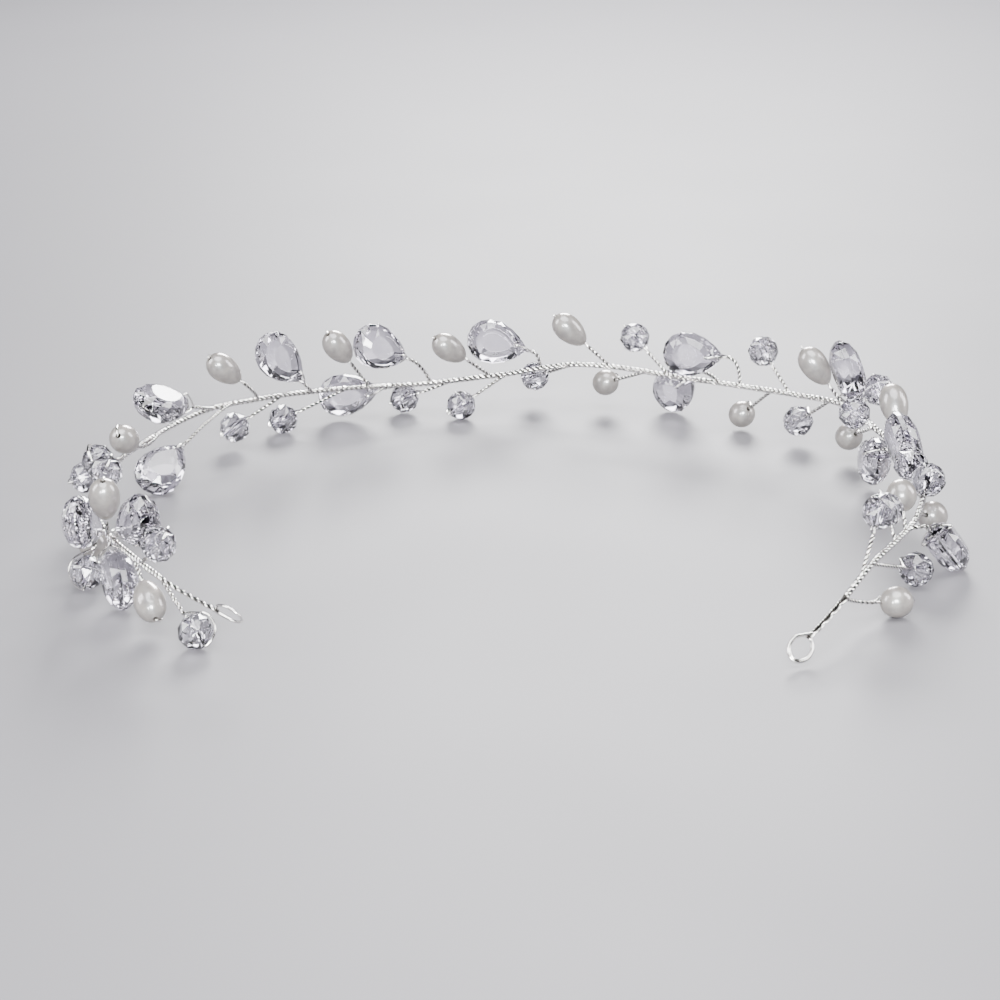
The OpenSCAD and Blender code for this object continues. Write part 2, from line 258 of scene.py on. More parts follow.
class WireSettings(bpy.types.PropertyGroup):
    """Sizes and colours of the twisted wire."""

    stem_strand: bpy.props.FloatProperty(
        name="Stem strand",
        description="Thickness of each strand of the stem, in millimetres",
        default=0.5,
        min=0.3,
        max=0.6,
    )
    stem_lay: bpy.props.FloatProperty(
        name="Stem lay",
        description="Length of one whole turn of the stem's strands, in millimetres",
        default=3.2,
        min=2,
        max=8,
    )
    stalk_strand: bpy.props.FloatProperty(
        name="Stalk strand",
        description="Thickness of each wire of a stalk, in millimetres",
        default=0.38,
        min=0.25,
        max=0.45,
    )
    stalk_lay: bpy.props.FloatProperty(
        name="Stalk lay",
        description="Length of one whole turn of a stalk's wires, in millimetres",
        default=1.9,
        min=1.2,
        max=4,
    )
    # The wire's colours: the silver's own colour on the outside of each strand, then painted shade on the
    # way into the grooves between strands and darkest deep in them, where shade falls
    plating: colour_setting("Plating", "Silver where the wire is rubbed bright", "#e8e6e3")
    half_shade: colour_setting("Half shade", "Silver on its way into a groove", "#7b7876")
    groove_shade: colour_setting("Groove shade", "Silver deep in the grooves between strands", "#242221")


class GlassSettings(bpy.types.PropertyGroup):
    """Cut and tint of the glass."""

    crystal_facets: bpy.props.IntProperty(
        name="Crystal facets",
        description="Facets in each row of a round crystal",
        default=10,
        min=8,
        max=16,
    )
    drop_corners: bpy.props.IntProperty(
        name="Drop corners",
        description="Corners of a drop's outline",
        default=16,
        min=10,
        max=24,
    )
    edge: bpy.props.FloatProperty(
        name="Edge",
        description="Width of the polished edge between two facets, in millimetres",
        default=0.06,
        min=0.01,
        max=0.2,
    )
    index: bpy.props.FloatProperty(
        name="Index",
        description="Refractive index of the glass",
        default=1.68,
        min=1.4,
        max=1.8,
    )
    crystal_clear: colour_setting("Crystal, clear", "Tint of the crystals' clearer streaks", "#e2e0e7")
    crystal_deep: colour_setting("Crystal, deep", "Tint of the crystals' deeper streaks", "#cecbd8")
    drop_clear: colour_setting("Drop, clear", "Tint of the drops' clearer streaks", "#e6e3ec")
    drop_deep: colour_setting("Drop, deep", "Tint of the drops' deeper streaks", "#d2cddb")


class PearlSettings(bpy.types.PropertyGroup):
    """Shape and colours of the pearls."""

    egg: bpy.props.FloatProperty(
        name="Egg",
        description="How much slimmer a rice pearl is towards its stalk",
        subtype="FACTOR",
        default=0.16,
        min=0,
        max=0.4,
    )
    shade: colour_setting("Shade", "The darker clouds in the lacquer", "#716e6b")
    cream: colour_setting("Cream", "The lighter clouds in the lacquer", "#8b8782")


class StageSettings(bpy.types.PropertyGroup):
    """Floor and light."""

    light: bpy.props.FloatProperty(
        name="Light",
        description="Strength of the studio light, as a share",
        subtype="FACTOR",
        default=1,
        min=0,
        max=4,
    )
    floor: colour_setting("Floor", "Colour of the floor before it is lit", "#646367")


# Materials


def add_node(tree, kind, inputs=None, **settings):
    """Adds a node with its settings. An input is a value, or the socket that feeds it."""
    node = tree.nodes.new(kind)
    for name, value in settings.items():
        setattr(node, name, value)
    for name, value in (inputs or {}).items():
        if isinstance(value, bpy.types.NodeSocket):
            tree.links.new(value, node.inputs[name])
        else:
            node.inputs[name].default_value = value
    return node


def new_material(name):
    """An empty material, its node tree and its output node."""
    material = bpy.data.materials.new(name)
    material.use_nodes = True
    material.node_tree.nodes.clear()
    return material, material.node_tree, add_node(material.node_tree, "ShaderNodeOutputMaterial")


def set_stops(ramp, stops):
    """Gives a colour ramp its (place, linear colour) stops."""
    elements = ramp.color_ramp.elements
    while len(elements) < len(stops):
        elements.new(0.5)
    for element, (place, colour) in zip(elements, stops):
        element.position = place
        element.color = (*colour, 1)


def silver_wire_material(settings):
    """Silver-plated copper craft wire: bright silver, with painted shade in the grooves between its
    strands.
    """
    material, tree, output = new_material("silver_plated_craft_wire")
    place = add_node(tree, "ShaderNodeTexCoord").outputs["Object"]
    # Painted shade darkens the silver in the grooves between strands, and the outside of each strand keeps
    # the silver's own bright colour, so each strand stands out from the next
    groove = add_node(tree, "ShaderNodeAttribute", attribute_name="groove").outputs["Fac"]
    # Handling marks about 1.5 mm across move that edge a little
    marks = add_node(tree, "ShaderNodeTexNoise", {"Vector": place, "Scale": 1 / (1.5 * MM), "Detail": 3.0})
    wear_and_shade = add_node(
        tree,
        "ShaderNodeMath",
        {0: marks.outputs["Fac"], 1: 0.3, 2: groove},
        operation="MULTIPLY_ADD",
    )
    # Colour runs from painted shade deep in the grooves, through lighter painted shade, to the silver's own
    # colour on the outside
    tone = add_node(tree, "ShaderNodeValToRGB", {"Fac": wear_and_shade.outputs["Value"]})
    set_stops(tone, ((0.7, settings.groove_shade), (0.88, settings.half_shade), (1.0, settings.plating)))
    gloss = add_node(
        tree,
        "ShaderNodeMapRange",
        {"Value": wear_and_shade.outputs["Value"], "From Min": 0.7, "From Max": 1.1, "To Min": 0.35, "To Max": 0.16},
    )
    shader = add_node(
        tree,
        "ShaderNodeBsdfPrincipled",
        {"Base Color": tone.outputs["Color"], "Metallic": 1.0, "Roughness": gloss.outputs["Result"]},
    )
    tree.links.new(shader.outputs["BSDF"], output.inputs["Surface"])
    return material


def cut_glass_material(name, clear, deep, index):
    """Machine-cut lead crystal, fire-polished: clear, with bright and dark glints and a faint
    violet-grey cast where it is thick."""
    material, tree, output = new_material(name)
    place = add_node(tree, "ShaderNodeTexCoord").outputs["Object"]
    # Slow streaks in the melt, about 3 mm apart, shift the tint
    streaks = add_node(tree, "ShaderNodeTexNoise", {"Vector": place, "Scale": 1 / (3 * MM), "Detail": 2.0})
    tint = add_node(tree, "ShaderNodeValToRGB", {"Fac": streaks.outputs["Fac"]})
    set_stops(tint, ((0.35, clear), (0.65, deep)))
    # Fine polishing marks about 0.4 mm long keep the reflections from being perfect
    polish = add_node(tree, "ShaderNodeTexNoise", {"Vector": place, "Scale": 1 / (0.4 * MM), "Detail": 2.0})
    gloss = add_node(
        tree,
        "ShaderNodeMapRange",
        {"Value": polish.outputs["Fac"], "From Min": 0.35, "From Max": 0.7, "To Min": 0.0, "To Max": 0.012},
    )
    shader = add_node(
        tree,
        "ShaderNodeBsdfPrincipled",
        {
            "Base Color": tint.outputs["Color"],
            "Roughness": gloss.outputs["Result"],
            "IOR": index,
            "Transmission Weight": 1.0,
        },
    )
    tree.links.new(shader.outputs["BSDF"], output.inputs["Surface"])
    return material


def pearl_material(settings):
    """Imitation pearl: a moulded core under coats of pearl essence. Its tiny flakes mirror softly, so
    the body is silver-cream with a broad sheen, under a wet gloss."""
    material, tree, output = new_material("pearl_essence_lacquer")
    place = add_node(tree, "ShaderNodeTexCoord").outputs["Object"]
    # Clouds in the lacquer about 1.6 mm across
    clouds = add_node(tree, "ShaderNodeTexNoise", {"Vector": place, "Scale": 1 / (1.6 * MM), "Detail": 3.0})
    body = add_node(tree, "ShaderNodeValToRGB", {"Fac": clouds.outputs["Fac"]})
    set_stops(body, ((0.3, settings.shade), (0.7, settings.cream)))
    # The glaze is a little uneven, in ripples of 0.7 mm
    ripple = add_node(tree, "ShaderNodeTexNoise", {"Vector": place, "Scale": 1 / (0.7 * MM), "Detail": 1.0})
    bump = add_node(
        tree, "ShaderNodeBump", {"Height": ripple.outputs["Fac"], "Strength": 0.15, "Distance": 0.02 * MM}
    )
    shader = add_node(
        tree,
        "ShaderNodeBsdfPrincipled",
        {
            "Base Color": body.outputs["Color"],
            "Metallic": 0.3,
            "Roughness": 0.36,
            "IOR": 1.53,
            "Subsurface Weight": 0.2,
            "Subsurface Radius": (1.0, 0.85, 0.7),
            "Subsurface Scale": 0.6 * MM,
            "Coat Weight": 1.0,
            "Coat Roughness": 0.04,
            "Coat IOR": 1.6,
            "Thin Film Thickness": 320.0,
            "Thin Film IOR": 1.45,
            "Normal": bump.outputs["Normal"],
        },
    )
    tree.links.new(shader.outputs["BSDF"], output.inputs["Surface"])
    return material


def floor_material(settings):
    """Satin grey acrylic sheet: plain, pale in this light, with only a blurred reflection."""
    material, tree, output = new_material("satin_grey_acrylic")
    place = add_node(tree, "ShaderNodeTexCoord").outputs["Object"]
    # Very slow change of gloss, over 60 mm, as on a wiped sheet
    wipe = add_node(tree, "ShaderNodeTexNoise", {"Vector": place, "Scale": 1 / (60 * MM), "Detail": 1.0})
    gloss = add_node(
        tree, "ShaderNodeMapRange", {"Value": wipe.outputs["Fac"], "To Min": 0.55, "To Max": 0.62}
    )
    shader = add_node(
        tree,
        "ShaderNodeBsdfPrincipled",
        {"Base Color": (*settings.floor, 1), "Roughness": gloss.outputs["Result"], "IOR": 1.49},
    )
    tree.links.new(shader.outputs["BSDF"], output.inputs["Surface"])
    return material


def shared_material(name, make, *values):
    """The material of that name, made from the values the first time it is asked for."""
    return bpy.data.materials.get(name) or make(*values)


# Places on the ring, in millimetres


def outward(turn):
    return Vector((math.cos(math.radians(turn)), math.sin(math.radians(turn)), 0))


def across(v, along):
    """The direction of v, laid at a right angle to a unit vector."""
    return (v - v.dot(along) * along).normalized()


def ring_point(turn, out, height):
    return Vector((BAND_X, BAND_Y, height)) + (BAND_RADIUS + out) * outward(turn)


def station_slope(i, column):
    """How fast a column of the stations changes with the turn, at one station."""
    a = STEM_STATIONS[max(i - 1, 0)]
    b = STEM_STATIONS[min(i + 1, len(STEM_STATIONS) - 1)]
    return (b[column] - a[column]) / (b[0] - a[0])


def stem_column(turn, column):
    """One column of the stations at any turn, on a smooth curve."""
    i = 0
    while i < len(STEM_STATIONS) - 2 and STEM_STATIONS[i + 1][0] < turn:
        i += 1
    a, b = STEM_STATIONS[i], STEM_STATIONS[i + 1]
    span = b[0] - a[0]
    t = (turn - a[0]) / span
    return (
        a[column] * (1 + 2 * t) * (1 - t) ** 2
        + b[column] * t * t * (3 - 2 * t)
        + station_slope(i, column) * span * t * (1 - t) ** 2
        - station_slope(i + 1, column) * span * t * t * (1 - t)
    )


def stem_at(turn):
    return ring_point(turn, stem_column(turn, OUT), stem_column(turn, HEIGHT))


def bent(v, swing, nod):
    """The direction of v, bent outwards and upwards by angles in degrees."""
    heading = math.atan2(v.y, v.x) - math.radians(swing)
    rise = math.asin(v.z / v.length) + math.radians(nod)
    return Vector((math.cos(rise) * math.cos(heading), math.cos(rise) * math.sin(heading), math.sin(rise)))


class Sprig:
    """One bead and its stalk, with the bead's middle and its own three directions."""

    def __init__(self, number, row):
        kind, root, turn, out, height, swing, nod, spin = row
        self.kind = kind
        self.node = f"{kind}_{number:02d}"
        self.root = stem_at(root)
        self.middle = ring_point(turn, out, height)
        self.axis = bent(self.middle - self.root, swing, nod)
        if kind == "drop":
            facing = outward(turn + spin)
        else:
            facing = Vector((0, math.cos(math.radians(spin)), math.sin(math.radians(spin))))
        self.front = across(facing, self.axis)
        self.side = self.axis.cross(self.front)
        self.half = HALF_LENGTH[kind]

    def placed(self, front, axis):
        """A point given along the bead's front and its axis."""
        return self.middle + front * self.front + axis * self.axis

    def stalk(self, t):
        """The stalk's centre line, from the stem at 0 to where its wires part at 1."""
        end = self.placed(0, -self.half - NECK)
        knee = end - BEND_SHARE * (end - self.root).length * self.axis
        return (1 - t) ** 2 * self.root + 2 * t * (1 - t) * knee + t * t * end

    def stalk_path(self):
        """The stalk's centre line, point by point."""
        return [self.stalk(k / STALK_STEPS) for k in range(STALK_STEPS + 1)]

    def placement(self):
        """Takes a bead modelled in millimetres at the origin to its place in metres."""
        turned = Matrix((self.front, self.side, self.axis)).transposed().to_4x4()
        return Matrix.Translation(self.middle * MM) @ turned @ Matrix.Scale(MM, 4)


ALL_SPRIGS = [Sprig(i + 1, row) for i, row in enumerate(SPRIGS)]


# Wire


def smooth_curve(points, parts):
    """A smooth curve through points, with that many steps between each two."""
    padded = [2 * points[0] - points[1], *points, 2 * points[-1] - points[-2]]
    curve = []
    for a, b, c, d in zip(padded, padded[1:], padded[2:], padded[3:]):
        for k in range(parts):
            t = k / parts
            curve.append(
                0.5
                * (
                    2 * b
                    + (c - a) * t
                    + (2 * a - 5 * b + 4 * c - d) * t * t
                    + (3 * b - a - 3 * c + d) * t * t * t
                )
            )
    curve.append(points[-1].copy())
    return curve


def evenly(path, step):
    """Points along a dense path, close to that step apart, with the length run at each."""
    runs = [0.0]
    for a, b in zip(path, path[1:]):
        runs.append(runs[-1] + (b - a).length)
    count = max(2, round(runs[-1] / step))
    points, lengths, i = [], [], 0
    for k in range(count + 1):
        run = runs[-1] * k / count
        while i < len(path) - 2 and runs[i + 1] < run:
            i += 1
        share = (run - runs[i]) / max(runs[i + 1] - runs[i], 1e-9)
        points.append(path[i].lerp(path[i + 1], share))
        lengths.append(run)
    return points, lengths


def level_frames(points, aside=UP):
    """Two directions across the path at each point, carried along it with no twist."""
    last = len(points) - 1
    tangents = [(points[min(i + 1, last)] - points[max(i - 1, 0)]).normalized() for i in range(last + 1)]
    first = across(aside if abs(tangents[0].dot(aside)) < 0.9 else Vector((1, 0, 0)), tangents[0])
    frames = []
    for tangent in tangents:
        first = across(first, tangent)
        frames.append((first, tangent.cross(first)))
    return frames


def mark_grooves(wire, axes):
    """Notes at each corner how far it lies from the middle of its twist, from 0 at the middle to
    1 on the outside. Axes are pairs of a twist's middle points and its radius, in millimetres."""
    tree = kdtree.KDTree(sum(len(points) for points, _ in axes))
    reaches = []
    for points, radius in axes:
        for point in points:
            tree.insert(point * MM, len(reaches))
            reaches.append(radius * MM)
    tree.balance()
    groove = wire.data.attributes.new("groove", "FLOAT", "POINT")
    for corner, value in zip(wire.data.vertices, groove.data):
        _, i, distance = tree.find(corner.co)
        value.value = min(distance / reaches[i], 1)


def wind(name, runs, thickness, axes=(), sides=6):
    """Makes round wire along runs of (points, relative thickness), in millimetres, as one mesh."""
    bpy.ops.object.select_all(action="DESELECT")
    bpy.ops.curve.primitive_bezier_curve_add(location=(0, 0, 0))
    wire = bpy.context.object
    wire.name = name
    curve = wire.data
    curve.splines.clear()
    curve.dimensions = "3D"
    curve.bevel_depth = thickness / 2 * MM
    curve.bevel_resolution = (sides - 4) // 2
    curve.use_fill_caps = True
    for points, shares in runs:
        spline = curve.splines.new("POLY")
        spline.points.add(len(points) - 1)
        spline.points.foreach_set("co", [c for p in points for c in (*(p * MM), 1)])
        spline.points.foreach_set("radius", shares)
    bpy.ops.object.convert(target="MESH")
    bpy.ops.object.mode_set(mode="EDIT")
    bpy.ops.mesh.select_all(action="SELECT")
    bpy.ops.mesh.remove_doubles(threshold=0.0005 * MM)
    bpy.ops.mesh.normals_make_consistent(inside=False)
    bpy.ops.object.mode_set(mode="OBJECT")
    bpy.ops.object.shade_smooth_by_angle(angle=math.radians(60))
    wire.data.name = name
    if axes:
        mark_grooves(wire, axes)
    return wire


def finish_wire(wire, settings):
    """Gives wire its plating, and lets it stand for the CAD wire."""
    wire.data.materials.append(shared_material("silver_plated_craft_wire", silver_wire_material, settings))
    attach(wire, "root")
    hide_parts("wire")


def ease(value, start, end):
    """0 before start, 1 after end, smooth between."""
    t = min(max((value - start) / (end - start), 0), 1)
    return t * t * (3 - 2 * t)


def stem_path():
    """The stem's middle, point by point."""
    return [stem_at(FIRST_TURN + (LAST_TURN - FIRST_TURN) * k / STEM_STEPS) for k in range(STEM_STEPS + 1)]


def stem_runs(settings):
    """The stem's three strands. At the right end two lie together and one beside them, and at
    the left end one has gone off with the last sprig."""
    fine = THIN_PAIR / settings.stem_strand
    rope_radius = settings.stem_strand / math.sqrt(3)
    points, lengths = evenly(stem_path(), settings.stem_lay / 10)
    centre = Vector((BAND_X, BAND_Y, 0))
    frames = level_frames(points)
    strands = [([], []) for _ in range(3)]
    rope_angle = fine_angle = 0.0
    for i, (point, frame_at) in enumerate(zip(points, frames)):
        arm = point - centre
        turn = math.degrees(math.atan2(arm.y, arm.x))
        if turn < FIRST_TURN - 1:
            turn += 360
        step = lengths[i] - lengths[max(i - 1, 0)]
        rope = ease(turn, *PARTING_TURNS)
        thin = ease(turn, *THINNING_TURNS)
        rope_angle += 360 * step / (settings.stem_lay * (1 - thin) + THIN_LAY * thin)
        fine_angle += 360 * step / PAIR_LAY
        level = across(Vector((arm.x, arm.y, 0)), frame_at[0].cross(frame_at[1]).normalized())
        upright = frame_at[0]
        for k, (line, shares) in enumerate(strands):
            if k == 2 and turn > THIN_TURN:
                continue
            radius = rope_radius * (1 - thin) + THIN_PAIR / 2 * thin
            angle = math.radians(rope_angle + k * (120 + 60 * thin))
            wound = radius * (math.cos(angle) * frame_at[0] + math.sin(angle) * frame_at[1])
            if k < 2:
                angle, share = math.radians(fine_angle + 180 * k), fine
                aside, wide = PAIR_ASIDE, PAIR_WIND
            else:
                angle, share = math.radians(fine_angle / 2), SINGLE_SHARE
                aside, wide = SINGLE_ASIDE, SINGLE_WIND
            beside = aside * level + wide * (math.cos(angle) * level + math.sin(angle) * upright)
            line.append(point + wound * rope + beside * (1 - rope))
            shares.append((share * (1 - rope) + rope) * (1 - thin) + fine * thin)
    return strands


class HEADBAND_OT_stem(bpy.types.Operator):
    """Winds the stem from three strands of wire"""

    bl_idname = "headband.stem"
    bl_label = "Wind the stem"
    bl_options = {"REGISTER", "UNDO"}

    def execute(self, context):
        settings = context.scene.headband_wire
        path = stem_path()
        thin_from = round((THIN_TURN - FIRST_TURN) / (LAST_TURN - FIRST_TURN) * STEM_STEPS)
        reach = settings.stem_strand * (0.5 + 1 / math.sqrt(3))
        axes = [(path[:thin_from], reach), (path[thin_from:], THIN_PAIR)]
        finish_wire(wind("stem_wire", stem_runs(settings), settings.stem_strand, axes), settings)
        return {"FINISHED"}


def bead_loop(sprig, strand):
    """The single wire round a bead, from one of the stalk's wires to the other: points along the
    bead's front and axis."""
    half = sprig.half
    neck = -half - NECK
    if sprig.kind == "drop":
        face = DROP_THICK / 2
        leg = [(share * face + room, DROP_HOLE_LEVEL + rise) for share, room, rise in DROP_LEG]
        leg.insert(0, (strand / 2, neck))
        return leg, [(-x, y) for x, y in reversed(leg)]
    wide = HALF_WIDTH[sprig.kind] + LEG_ROOM
    long = half + LEG_ROOM
    there = [
        (-strand / 2, neck),
        (BORE_ASIDE[0], -half - BORE_MOUTH),
        (0, -half + BORE_MOUTH),
        (0, half - BORE_MOUTH),
        (BORE_ASIDE[1], half + BORE_TIP),
    ]
    angles = [math.radians(angle) for angle in ARC_ANGLES]
    arc = [(wide * math.cos(angle), long * math.sin(angle)) for angle in angles]
    return there, [*arc, (strand / 2, neck)]


def sprig_run(sprig, settings):
    """One sprig's wire: up the stalk, round the bead and back down the stalk, wound on itself."""
    strand = settings.stalk_strand
    lay = settings.stalk_lay
    points, lengths = evenly(sprig.stalk_path(), lay / 8)
    frames = level_frames(points)
    there, back = bead_loop(sprig, strand)
    out_side = 1 if sprig.kind == "drop" else -1
    end_angle = math.atan2(sprig.front.dot(frames[-1][1]), sprig.front.dot(frames[-1][0]))
    lines = []
    for side in (out_side, -out_side):
        line = []
        for point, run, (first, second) in zip(points, lengths, frames):
            angle = end_angle + 2 * math.pi * (run - lengths[-1]) / lay
            line.append(point + side * strand / 2 * (math.cos(angle) * first + math.sin(angle) * second))
        lines.append(line)
    loop = smooth_curve([sprig.placed(x, y) for x, y in [*there, *back]], 5)
    run = lines[0][:-1] + loop + lines[1][::-1][1:]
    return run, [1.0] * len(run)


class HEADBAND_OT_sprig_wires(bpy.types.Operator):
    """Winds a stalk for each bead, with its loop round the bead"""

    bl_idname = "headband.sprig_wires"
    bl_label = "Wind the sprigs"
    bl_options = {"REGISTER", "UNDO"}

    def execute(self, context):
        settings = context.scene.headband_wire
        runs = [sprig_run(sprig, settings) for sprig in ALL_SPRIGS]
        axes = [(sprig.stalk_path(), settings.stalk_strand) for sprig in ALL_SPRIGS]
        finish_wire(wind("sprig_wires", runs, settings.stalk_strand, axes), settings)
        return {"FINISHED"}


def eye_run(eye):
    """The wire of an end eye: out of the stem, round the eye once or twice, and back."""
    turn, heading, length, width, tilt, droop, turns = eye
    end = stem_at(turn)
    run = bent(end - stem_at(turn - heading), 0, -droop)
    level = run.cross(UP).normalized()
    wide = math.cos(math.radians(tilt)) * level + math.sin(math.radians(tilt)) * level.cross(run)
    through = run.cross(wide)
    middle = end + length / 2 * run
    points = [end - EYE_ROOT * run - EYE_ACROSS * wide - EYE_THROUGH * through]
    steps = EYE_STEPS * turns
    for k in range(1, steps):
        angle = 2 * math.pi * k / EYE_STEPS
        size = 1.0
        if k > EYE_STEPS:
            size -= EYE_SHRINK * math.sin(angle / 2) ** 2
        points.append(
            middle
            - size * length / 2 * math.cos(angle) * run
            + size * width / 2 * math.sin(angle) * wide
            + EYE_THROUGH * (2 * k / steps - 1) * through
        )
    points.append(end - EYE_ROOT * run + EYE_ACROSS * wide + EYE_THROUGH * through)
    line = smooth_curve(points, 4)
    return line, [1.0] * len(line)


class HEADBAND_OT_eyes(bpy.types.Operator):
    """Bends the wire's two ends into eyes"""

    bl_idname = "headband.eyes"
    bl_label = "Bend the end eyes"
    bl_options = {"REGISTER", "UNDO"}

    def execute(self, context):
        settings = context.scene.headband_wire
        for name, eye in zip(("right_eye_wire", "left_eye_wire"), EYES):
            # Only the wire's root, half a millimetre into the stem, has a groove that gets painted shade
            axes = [([stem_at(eye[0])], 0.5)]
            finish_wire(wind(name, [eye_run(eye)], EYE_WIRE, axes, sides=8), settings)
        return {"FINISHED"}


# Beads


def start_bead(name):
    """An empty mesh at the origin, open in edit mode."""
    bpy.ops.object.select_all(action="DESELECT")
    bpy.ops.object.add(type="MESH", location=(0, 0, 0))
    bead = bpy.context.object
    bead.name = name
    bpy.ops.object.mode_set(mode="EDIT")
    return bead


def select_corners(bead, wanted):
    """Selects the corners whose place passes a test, and no others."""
    bpy.ops.mesh.select_all(action="DESELECT")
    shape = bmesh.from_edit_mesh(bead.data)
    for corner in shape.verts:
        corner.select_set(wanted(corner.co))
    shape.select_flush_mode()
    bmesh.update_edit_mesh(bead.data)


def close_facets():
    """Closes the rows of corners with flat facets, and leaves edit mode."""
    bpy.ops.mesh.select_all(action="SELECT")
    bpy.ops.mesh.convex_hull()
    bpy.ops.mesh.select_all(action="SELECT")
    bpy.ops.mesh.dissolve_limited(angle_limit=math.radians(0.5))
    bpy.ops.mesh.normals_make_consistent(inside=False)
    bpy.ops.object.mode_set(mode="OBJECT")


def apply_modifier(bead, kind, **settings):
    """Adds a modifier and applies it."""
    modifier = bead.modifiers.new(kind.lower(), kind)
    for name, value in settings.items():
        setattr(modifier, name, value)
    bpy.context.view_layer.objects.active = bead
    bpy.ops.object.modifier_apply(modifier=modifier.name)


def polish_edges(bead, width):
    """Gives the edges between facets their narrow polished face."""
    angle = math.radians(FACET_ANGLE)
    apply_modifier(bead, "BEVEL", width=width, segments=1, limit_method="ANGLE", angle_limit=angle)


def drill(bead, place, direction):
    """Bores the bead's hole with a round cutter, longer than any bead."""
    bpy.ops.object.select_all(action="DESELECT")
    bpy.ops.mesh.primitive_cylinder_add(
        vertices=DRILL_SIDES, radius=HOLE_D / 2, depth=4 * CRYSTAL_D, location=place, rotation=direction
    )
    cutter = bpy.context.object
    apply_modifier(bead, "BOOLEAN", operation="DIFFERENCE", object=cutter, solver="EXACT")
    bpy.data.objects.remove(cutter)


def hang_beads(kind, pattern, material, piece_name):
    """Copies a bead, modelled once, to each sprig of its kind, and removes the pattern."""
    for sprig in ALL_SPRIGS:
        if sprig.kind != kind:
            continue
        name = sprig.node.replace(kind, piece_name)
        mesh = pattern.data.copy()
        mesh.name = name
        mesh.transform(sprig.placement())
        mesh.materials.append(material)
        bead = bpy.data.objects.new(name, mesh)
        bpy.context.scene.collection.objects.link(bead)
        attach(bead, "root")
        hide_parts(sprig.node)
    bpy.data.objects.remove(pattern)


class HEADBAND_OT_crystals(bpy.types.Operator):
    """Cuts the round crystals"""

    bl_idname = "headband.crystals"
    bl_label = "Cut the crystals"
    bl_options = {"REGISTER", "UNDO"}

    def execute(self, context):
        settings = context.scene.headband_glass
        count = settings.crystal_facets
        bead = start_bead("crystal_pattern")
        for radius, height, stagger in CRYSTAL_ROWS:
            for end in (1, -1):
                bpy.ops.mesh.primitive_circle_add(
                    vertices=count,
                    radius=radius,
                    location=(0, 0, end * height),
                    rotation=(0, 0, stagger * 2 * math.pi / count),
                )
        close_facets()
        polish_edges(bead, settings.edge)
        drill(bead, (0, 0, 0), (0, 0, 0))
        name = "fire_polished_crystal"
        tints = (settings.crystal_clear, settings.crystal_deep)
        glass = shared_material(name, cut_glass_material, name, *tints, settings.index)
        hang_beads("crystal", bead, glass, "cut_crystal")
        return {"FINISHED"}


def add_drop_row(bead, size, reach, stagger, corners):
    """Adds one row of a drop's corners, tip down: a circle whose rows narrow towards the tip."""
    bpy.ops.mesh.primitive_circle_add(
        vertices=corners, radius=1, location=(reach, 0, 0), rotation=(0, math.pi / 2, 0)
    )
    middle = (reach, 0, 0)
    bpy.ops.transform.rotate(value=stagger * 2 * math.pi / corners, orient_axis="X", center_override=middle)
    half = size * DROP_LENGTH / 2
    breadth = size * DROP_WIDTH / 2 / DROP_BELLY
    bpy.ops.transform.resize(value=(1, breadth, half), center_override=middle)
    shape = bmesh.from_edit_mesh(bead.data)
    levels = sorted({round(corner.co.z, 3) for corner in shape.verts if corner.select})
    for level in levels:
        select_corners(bead, lambda place: abs(place.x - reach) < 0.001 and abs(place.z - level) < 0.01)
        narrow = (max(1 + level / half, 0) / 2) ** (DROP_TAPER / 2)
        bpy.ops.transform.resize(value=(1, narrow, 1), center_override=middle)


class HEADBAND_OT_drops(bpy.types.Operator):
    """Cuts the flat drops"""

    bl_idname = "headband.drops"
    bl_label = "Cut the drops"
    bl_options = {"REGISTER", "UNDO"}

    def execute(self, context):
        settings = context.scene.headband_glass
        bead = start_bead("drop_pattern")
        for size, thick, stagger in DROP_ROWS:
            for face in (1, -1):
                reach = face * thick * DROP_THICK / 2
                add_drop_row(bead, size, reach, stagger, settings.drop_corners)
        close_facets()
        polish_edges(bead, settings.edge)
        drill(bead, (0, 0, DROP_HOLE_LEVEL), (0, math.pi / 2, 0))
        name = "cut_glass_drop"
        tints = (settings.drop_clear, settings.drop_deep)
        glass = shared_material(name, cut_glass_material, name, *tints, settings.index)
        hang_beads("drop", bead, glass, "cut_drop")
        return {"FINISHED"}


def round_pearl(name, thick, length, egg):
    """A drilled pearl along Z, slimmer towards its lower end by the share egg."""
    pearl = start_bead(name)
    bpy.ops.mesh.primitive_uv_sphere_add(
        segments=PEARL_SEGMENTS, ring_count=PEARL_RINGS, radius=1, location=(0, 0, 0)
    )
    bpy.ops.transform.resize(value=(thick / 2, thick / 2, length / 2), center_override=(0, 0, 0))
    # The poles give way to the hole
    select_corners(pearl, lambda place: abs(place.z) > 0.4999 * length)
    bpy.ops.mesh.delete(type="VERT")
    bpy.ops.mesh.select_mode(type="EDGE")
    bpy.ops.mesh.select_non_manifold()
    bpy.ops.mesh.bridge_edge_loops(number_cuts=BORE_ROWS - 1)
    bpy.ops.mesh.select_mode(type="VERT")
    bpy.ops.mesh.select_all(action="SELECT")
    bpy.ops.mesh.normals_make_consistent(inside=False)
    bpy.ops.object.mode_set(mode="OBJECT")
    if egg:
        apply_modifier(pearl, "SIMPLE_DEFORM", deform_method="TAPER", deform_axis="Z", factor=2 * egg)
    bpy.ops.object.shade_smooth_by_angle(angle=math.radians(40))
    return pearl


class HEADBAND_OT_pearls(bpy.types.Operator):
    """Rounds the pearls and the longer rice pearls"""

    bl_idname = "headband.pearls"
    bl_label = "Round the pearls"
    bl_options = {"REGISTER", "UNDO"}

    def execute(self, context):
        settings = context.scene.headband_pearls
        lacquer = shared_material("pearl_essence_lacquer", pearl_material, settings)
        ball = round_pearl("pearl_pattern", PEARL_D, PEARL_LENGTH, 0)
        hang_beads("pearl", ball, lacquer, "round_pearl")
        rice = round_pearl("rice_pattern", RICE_D, RICE_LENGTH, settings.egg)
        hang_beads("rice_pearl", rice, lacquer, "long_pearl")
        return {"FINISHED"}


# Stage

